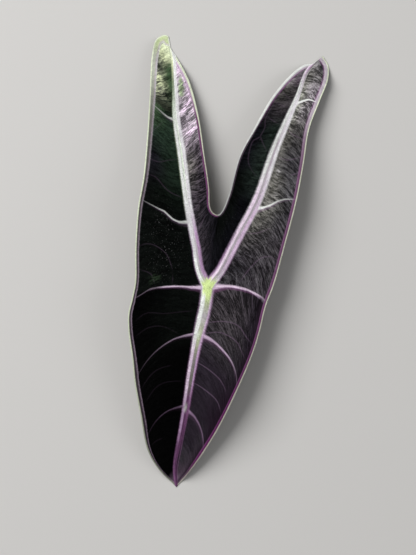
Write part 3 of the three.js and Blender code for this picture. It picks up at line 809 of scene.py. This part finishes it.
# The mesh's values, the masks of ribs and sectors, and the noise, as sockets of one material.
def leafSockets(start):
    def layer(name):
        return start.node("Attribute", {"attribute_name": name}, {}, out=1).parts()

    at = SimpleNamespace(start=start)
    at.along, at.across, at.v = layer("sheet")
    at.ribShare, at.toMargin, at.u = layer("edges")
    at.sideDistances, at.sidePale = layer("sideRibs"), layer("pale")
    at.veinSigned, at.veinFar, at.veinPale = layer("fine")
    at.mottled, at.edgePale, at.bandPale = layer("tones")
    at.bandPlace, at.rough, at.specks = layer("bands")
    at.spotPale, at.spotGreen = layer("spots")[:2]
    at.upper, at.stalk, at.stalkShare = layer("part")
    midSide, leftSide, rightSide = layer("zone")
    at.onMidrib, at.onLeft, at.onRight = onRibs = abs(midSide), abs(leftSide), abs(rightSide)
    side = midSide + leftSide + rightSide
    at.right = side.rise(-0.5, 0.5)
    for name, sector in leafSectors.items():
        onRib = onRibs[ribNames.index(sector["rib"])]
        setattr(at, name, onRib * (at.right if sector["side"] > 0 else 1.0 - at.right))
    at.seed = side * 7.3 + at.onLeft * 31 + at.onRight * 67
    for name, (scaleAlong, scaleAcross, seedShift, detail, distortion) in veinNoise.items():
        place = {0: at.along * scaleAlong, 1: at.across * scaleAcross, 2: at.seed + seedShift}
        setattr(at, name, start.node("CombineXYZ", {}, place).noise(1.0, detail, distortion) - 0.5)
    at.creases = abs(at.cracks).rise(0.035, 0.0)
    return at


# Tones of the blade from the junction to a tip: beside the rib, towards the margin, and the blotches' two.
# The grey, mauve and lilac tones of the halves right of each rib (frontRight, outerRight, innerLeft) are
# painted sheen, the pale tones towards the tips are painted highlight, and the near-black and green tones are
# the leaf's own colour.
bladeTonesAndSheen = {
    "frontLeft": (
        [("soot", 0, 0.22), ("night", 0.3, 0.91), ("heather", 0.97)],
        [("night", 0, 0.91), ("heather", 0.97)], ("night", "mauve")),
    "frontRight": (
        [("smoke", 0, 0.16), ("dusk", 0.22), ("plum", 0.34, 0.75), ("shade", 0.85), ("mauve", 0.91),
         ("heather", 0.96)],
        [("plum", 0, 0.25), ("darkPurple", 0.36, 0.55), ("shade", 0.68), ("mauve", 0.85),
         ("heather", 0.94)], ("ink", "rose")),
    "outerLeft": (
        [("soot", 0, 0.3), ("pine", 0.5), ("moss", 0.6), ("pine", 0.75), ("leafGreen", 0.8),
         ("fern", 0.86), ("cream", 0.9), ("paleCream", 0.95)],
        [("soot", 0, 0.36), ("ink", 0.48), ("moss", 0.58), ("leafGreen", 0.68), ("dull", 0.73, 0.82),
         ("stoneGreen", 0.87), ("paleCream", 0.91)], ("bark", "cream")),
    "outerRight": (
        [("slate", 0), ("shade", 0.12), ("umber", 0.2), ("olive", 0.29, 0.66), ("ash", 0.74, 0.8),
         ("olive", 0.84, 0.9), ("lilacGrey", 0.96)],
        [("shade", 0), ("dusk", 0.16), ("slate", 0.3, 0.5), ("umber", 0.66), ("rose", 0.74, 0.82),
         ("umber", 0.87), ("lilacGrey", 0.96)], ("ink", "silver")),
    "innerLeft": (
        [("ink", 0), ("shade", 0.1, 0.36), ("umber", 0.43), ("olive", 0.5), ("rose", 0.58), ("dove", 0.66),
         ("lilacGrey", 0.73, 0.86), ("pearl", 0.91)],
        [("coal", 0), ("ink", 0.24), ("plum", 0.34, 0.5), ("shade", 0.57), ("dove", 0.65),
         ("lilacGrey", 0.72), ("blush", 0.79, 0.86), ("pearl", 0.92)], ("dusk", "blush")),
    "innerRight": (
        [("ink", 0), ("coal", 0.1, 0.34), ("bottle", 0.45, 0.68), ("smoke", 0.74), ("umber", 0.84),
         ("heather", 0.88), ("lilacGrey", 0.93)],
        [("soot", 0, 0.42), ("coal", 0.5, 0.66), ("dusk", 0.76), ("olive", 0.84), ("lilacGrey", 0.9),
         ("pearl", 0.96)], ("dusk", "rose")),
}


def bladeColour(at):
    body, dark, pale = tone["night"], tone["night"], tone["silver"]
    outward = at.v + at.patches * 0.4 + at.outerRight * at.u.rise(0.4, 0.5) * 0.15 - at.frontRight * 0.1
    # Each sector's own dark colour, with painted sheen on the halves right of the ribs and painted highlight
    # towards the tips.
    for name, (nearRib, nearMargin, (darkName, paleName)) in bladeTonesAndSheen.items():
        mask = getattr(at, name)
        body = mask.mix(body, outward.rise(0.22, 0.82).mix(at.u.ramp(nearRib), at.u.ramp(nearMargin)))
        dark, pale = mask.mix(dark, tone[darkName]), mask.mix(pale, tone[paleName])
    blotch = (at.clouds * 1.2 + at.ripples * 0.8).rise(-0.2, 0.2)
    body = at.mottled.mix(body, blotch.mix(dark, pale))
    streaky = 1.0 + at.ripples * 4.5
    green = at.right.mix(tone["leafGreen"], tone["sage"])
    for spot, colour in ((at.spotPale, pale), (at.spotPale * -1.0, dark), (at.spotGreen, green)):
        body = (spot * streaky).rise(0.1, 0.8).mix(body, colour)
    # Painted shade and highlight of the ripples and curls, and painted shade in the creases, as strong as the
    # fold strength, mixed with random tone from streaks, patches and grit.
    ridgeShade = (at.ripples.rise(-0.13, 0.13) - 0.5) * 0.9 + (at.curls.rise(-0.13, 0.13) - 0.5) * 0.7
    reliefShadeAndMottle = ridgeShade + at.streaks * 1.2 + at.patches * 1.5 + at.grit * 1.5 - 0.16
    body = body.dim((1.0 + at.rough * reliefShadeAndMottle).atLeast(0.2) * (1.0 - at.creases * at.rough * 0.4))
    body = (at.dust.rise(0.14, 0.26) * (at.specks + at.right * 0.04)).mix(body, tone["silver"])
    vein = abs(at.veinSigned + at.grit * 0.6).rise(0.75, 0.1) * at.veinFar.rise(1.4, 0.9)  # thin and lilac
    return (vein * at.veinPale * 1.5).mix(body, tone["lilac"])


# Margin: a cream edge line, a purple band that turns pale on the back lobes, and thin lines on and beside it.
# The band ends at 3, so the lines' places are thirds of it.
def withMargin(at, body):
    band = at.bandPlace + at.teeth * 0.8
    # Beside the front lobe's right margin the blade turns from the light: a painted shade of dark purple over
    # the painted sheen.
    body = (band.rise(8.0, 3.6) * at.frontRight * 0.75).mix(body, tone["darkPurple"])
    bandDark = at.right.mix(tone["bandPurple"], tone["bandWine"])
    lobeBand = at.u.rise(0.86, 0.93).mix(tone["greenBand"], tone["greenTip"])
    lobeBand = (at.right + at.onRight).rise(0.0, 1.0).mix(lobeBand, tone["paleBand"])
    bandColour = at.bandPale.mix(bandDark, at.innerLeft.mix(lobeBand, tone["blush"]))
    comb = at.comb.rise(0.0, 0.1) * band.band(4.2, 3.2) * at.u.rise(0.66, 0.7) * at.u.rise(0.92, 0.88)
    body = (comb * at.outerLeft * 0.7).mix(body, tone["bark"])
    body = (band.rise(3.4, 2.9) * (1.0 - at.onMidrib * at.u.rise(0.72, 0.92) * 0.8)).mix(body, bandColour)
    lilacLine = 0.07 + at.bandPale * 0.2 + (1.0 - at.right) * (1.0 - at.onRight) * 0.2
    magentaLine = (at.right * (1.0 - at.onMidrib) * at.bandPale * 0.5
                   + at.innerRight * at.u.band(0.83, 0.2) * 0.9)
    for centre, width, strength, name in (
            (2.7, 0.7, lilacLine, "paleLilac"), (3.2, 0.6, at.outerLeft * at.bandPale * 0.8, "silver"),
            (3.4, 0.8, magentaLine, "magenta")):
        body = (band.band(centre, width) * strength).mix(body, tone[name])
    rim = 1.0 + (at.innerRight * at.u.rise(0.55, 0.75) + at.innerLeft * at.u.rise(0.65, 0.8)) * 0.7
    edgeColour = at.edgePale.mix(bandDark, at.innerRight.mix(tone["edgeCream"], tone["white"]))
    return (at.toMargin / rim).rise(1.25, 0.7).mix(body, edgeColour)


# Side ribs from the junction's to the second: half width, strength of the purple fringe on the lower side,
# which is partly painted shade, and the tones of the front ones, of their lower side (partly painted shade)
# and of the ones on the back lobes.
sideRibLooks = (
    (1.2, 0.55, "blush", "lilac", "blush"),
    (0.85, 0.25, "paleLilac", "lilac", "white"),
    (0.8, 0.25, "lilac", "purple", "white"),
)


# Side ribs: pale lines, purple on their lower side, partly their own purple and partly painted shade on the
# side away from the light, thinner and duller outwards.
def withSideRibs(at, body):
    widening = 0.85 + at.right * 0.35 + at.onRight * 0.25 + at.outerLeft * 0.25
    reach = (1.4 + at.v.rise(0.3, 0.0) - at.v * 0.95) * (1.0 + at.teeth * 0.7) * widening
    inside = at.toMargin.rise(1.0, 4.0)
    for distance, pale, look in zip(at.sideDistances, at.sidePale, sideRibLooks):
        width, fringeAndShadeStrength, frontTone, lowToneAndShade, backTone = look
        fringe = (distance / reach).band(width, 1.3) * inside * (1.0 - at.onRight * at.u.rise(0.5, 0.7))
        fringeAndShadeColour = at.onMidrib.mix(tone["lilac"], tone["purple"])
        body = (fringe * pale * fringeAndShadeStrength * (0.5 + at.right * 0.5)).mix(body, fringeAndShadeColour)
        line = (abs(distance) / reach).rise(width, width * 0.25) * inside
        upperSide = at.onMidrib.mix(tone[backTone], tone[frontTone])
        lowerSideAndShade = at.onMidrib.mix(tone["paleLilac"], tone[lowToneAndShade])
        body = (line * pale).mix(body, (distance / reach).rise(0.1, 0.9).mix(upperSide, lowerSideAndShade))
    return body


# Tones of the main ribs from the junction to a tip, each for the midrib, the left and the right back rib. The
# left lines are whiter and the right lines more lilac and purple, partly the ribs' own colour and partly
# painted light and shade from the upper left.
mainRibTones = {
    "leftLine": (
        [("white", 0, 0.22), ("blush", 0.33, 0.5), ("lilac", 0.6, 0.7), ("purple", 0.8, 1)],
        [("white", 0, 0.1), ("silver", 0.16, 0.3), ("white", 0.4, 0.62), ("greenWhite", 0.72),
         ("sage", 0.82), ("cream", 0.9), ("white", 1)],
        [("pinkWhite", 0, 0.4), ("white", 0.5, 0.86), ("pinkWhite", 0.93)]),
    "core": (
        [("yellowGreen", 0, 0.04), ("greenGrey", 0.08), ("stone", 0.14), ("greenGrey", 0.24),
         ("core", 0.36), ("olive", 0.46), ("violet", 0.56, 1)],
        [("yellowGreen", 0), ("stone", 0.05, 0.16), ("silver", 0.3), ("greenWhite", 0.5),
         ("white", 0.9, 1)],
        [("yellowGreen", 0), ("dove", 0.05, 0.6), ("silver", 0.72, 0.85), ("lilac", 0.93)]),
    "rightLine": (
        [("greenGrey", 0), ("paleLilac", 0.06, 0.2), ("lilac", 0.33, 0.46), ("purple", 0.58),
         ("violet", 0.7), ("plum", 0.85), ("violet", 1)],
        [("lilac", 0, 0.2), ("silver", 0.32, 0.8), ("white", 0.93)],
        [("silver", 0), ("paleLilac", 0.1, 0.3), ("silver", 0.5, 0.78), ("stone", 0.85), ("core", 0.93)]),
}


# Main ribs: a bright line on each side of a duller core, feathered where they meet the blade; the left line's
# extra brightness and the right line's purple are partly painted light and shade.
def mainRibColour(at, feathered):
    leftLine, core, rightLine = (
        at.onRight.mix(at.onLeft.mix(at.u.ramp(middle), at.u.ramp(left)), at.u.ramp(right))
        for middle, left, right in (mainRibTones[key] for key in ("leftLine", "core", "rightLine")))
    lines = at.ribShare + at.grit * 0.25
    colour = lines.rise(-0.32, -0.06).mix(leftLine, core)
    midShift = at.u.rise(0.35, 0.15) * 0.25 + at.u.band(0.45, 0.2) * 0.15 + 0.1
    colour = (lines - at.onMidrib * midShift).rise(0.15, 0.42).mix(colour, rightLine)
    flecks = lines.band(0.3, 0.16) * at.teeth.rise(-0.05, 0.08) * (1.0 - at.onMidrib)
    colour = (flecks * 0.5).mix(colour, tone["lilac"])
    forks = at.u.band(0.24, 0.03) + at.u.band(0.6, 0.035) * 0.6  # pale where the side ribs leave the midrib
    forks = forks * at.onMidrib * (at.ribShare + 0.15).band(0.0, 0.75)
    colour = (forks * 0.8).mix(colour, tone["greenWhite"])
    # A plum line along the midrib's groove: painted shade.
    grooveShade = lines.band(0.12, 0.12) * at.onMidrib * at.u.band(0.72, 0.14)
    colour = (grooveShade * 0.7).mix(colour, tone["plum"])
    fringe = at.u.rise(0.1, 0.4).mix(tone["lilac"], at.onMidrib.mix(tone["silver"], tone["purple"]))
    fringe = (at.outerLeft * at.u.rise(0.2, 0.4)).mix(fringe, tone["sage"])
    wideFringe = at.innerRight * at.u.rise(0.3, 0.2) * 0.25
    colour = (feathered + wideFringe).rise(0.75, 1.05).mix(colour, fringe)
    nearJunction = (at.u / (0.7 + at.onMidrib * 0.5)).rise(0.045, 0.015)
    colour = (nearJunction * abs(at.ribShare).rise(0.85, 0.55)).mix(colour, tone["yellowGreen"])
    place = {0: at.ribShare * 5.0, 1: at.u * 30.0, 2: at.seed}
    fibres = at.start.node("CombineXYZ", {}, place).noise(1.0, 2.0) - 0.5
    return colour.dim(1.0 + at.grit * 0.9 + fibres * 0.7)


def undersideColour(at):
    below = (at.ripples + 0.5).mix(tone["wineDark"], tone["wine"])
    below = abs(at.ribShare).rise(1.1, 0.7).mix(below, tone["paleRib"])
    for distance in at.sideDistances:
        below = abs(distance).rise(1.4, 0.8).mix(below, tone["paleRib"])
    return at.toMargin.rise(1.2, 0.6).mix(below, tone["sage"])


def stalkColour(at):
    place = at.start.node("TexCoord", {}, {}, out=3)
    colour = place.noise(420.0, 3.0).rise(0.45, 0.6).mix(tone["stalkGreen"], tone["stalkDark"])
    return at.stalkShare.rise(0.8, 0.82).mix(colour, tone["cut"])


def leafMaterial(name):
    material, start = startMaterial(name)
    at = leafSockets(start)
    feathered = abs(at.ribShare) + at.teeth * 0.25
    onMainRib = feathered.rise(1.25, 0.68) * (1.0 - at.onRight * at.u.rise(0.93, 0.97))
    top = withSideRibs(at, withMargin(at, bladeColour(at)))
    top = onMainRib.mix(top, mainRibColour(at, feathered))
    colour = at.stalk.mix(at.upper.mix(undersideColour(at), top), stalkColour(at))
    height = at.ripples * 1.5 - at.creases * 0.4 + at.grit * 0.5 + at.teeth * 0.4
    bump = start.node("Bump", {}, {"Height": height, "Strength": 0.8, "Distance": 0.0006})
    finishMaterial(start.node("BsdfPrincipled", {}, {
        "Base Color": colour, "Roughness": 0.45 + onMainRib * 0.1, "Specular IOR Level": 0.02,
        "Normal": bump}))
    return material


blade.data.materials.append(leafMaterial("purple leaf skin"))
ribsAndStalk.data.materials.append(leafMaterial("pale ribs and stalk"))
for piece, node, slot in ((blade, "leaf_blade", "blade"), (ribsAndStalk, "stalk_and_ribs", "ribs")):
    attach(piece, "root")
    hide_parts(node)
print("materials done")

# The stage: a pale floor, a big soft light from the upper left, a weak one from the right.
stageForm = {
    "floorSize": 12.0,
    "floorColour": "cdcbc8",
    "worldColour": (0.95, 0.97, 1.0, 1.0),
    "worldStrength": 0.2,
    "key": {"place": (-1.5, 0.75, 1.75), "size": 1.8, "power": 66},
    "fill": {"place": (1.9, -0.8, 1.3), "size": 1.5, "power": 11},
}
cameraForm = {
    "imageSize": (416, 555),     # pixels
    "pixelSize": 0.000795,       # metres to a pixel of the photo at the leaf
    "junctionPixel": (207.5, 287),
    "roll": 8.3,                 # degrees, the leaf leans right at the top
    "distance": 2.5,
    "leafPlane": 0.015,
    "sensor": 36,
}

size = stageForm["floorSize"] / 2
floorMesh = bpy.data.meshes.new("floor")
corners = [(-size, -size, 0), (size, -size, 0), (size, size, 0), (-size, size, 0)]
floorMesh.from_pydata(corners, [], [(0, 1, 2, 3)])
floor = placed("floor", floorMesh)
material, start = startMaterial("pale floor")
finishMaterial(start.node("BsdfPrincipled", {}, {
    "Base Color": paint(stageForm["floorColour"]), "Roughness": 0.8, "Specular IOR Level": 0.1}))
floorMesh.materials.append(material)

world = bpy.data.worlds.new("soft studio")
world.use_nodes = True
world.node_tree.nodes["Background"].inputs[0].default_value = stageForm["worldColour"]
world.node_tree.nodes["Background"].inputs[1].default_value = stageForm["worldStrength"]
bpy.context.scene.world = world

for name in ("key", "fill"):
    form = stageForm[name]
    light = bpy.data.lights.new(name, "AREA")
    light.size, light.energy = form["size"], form["power"]
    placed(name, light, form["place"], (-Vector(form["place"])).to_track_quat("-Z", "Y").to_euler())

# The middle of the image, as a place on the leaf: pixels from the junction, turned by the roll.
imageWidth, imageHeight = cameraForm["imageSize"]
dx = imageWidth / 2 - cameraForm["junctionPixel"][0]
dy = cameraForm["junctionPixel"][1] - imageHeight / 2
roll = radians(cameraForm["roll"])
cosine, sine = np.cos(roll), np.sin(roll)
aim = cameraForm["pixelSize"] * np.array([dx * cosine - dy * sine, dx * sine + dy * cosine])
aim -= leafMiddle / 1000
cameraData = bpy.data.cameras.new("camera")
cameraData.lens = cameraForm["sensor"] * cameraForm["distance"] / (imageHeight * cameraForm["pixelSize"])
height = cameraForm["leafPlane"] + cameraForm["distance"]
bpy.context.scene.camera = placed("camera", cameraData, (*aim, height), (0, 0, roll))
bpy.context.scene.view_settings.view_transform = "Standard"
print("stage done")
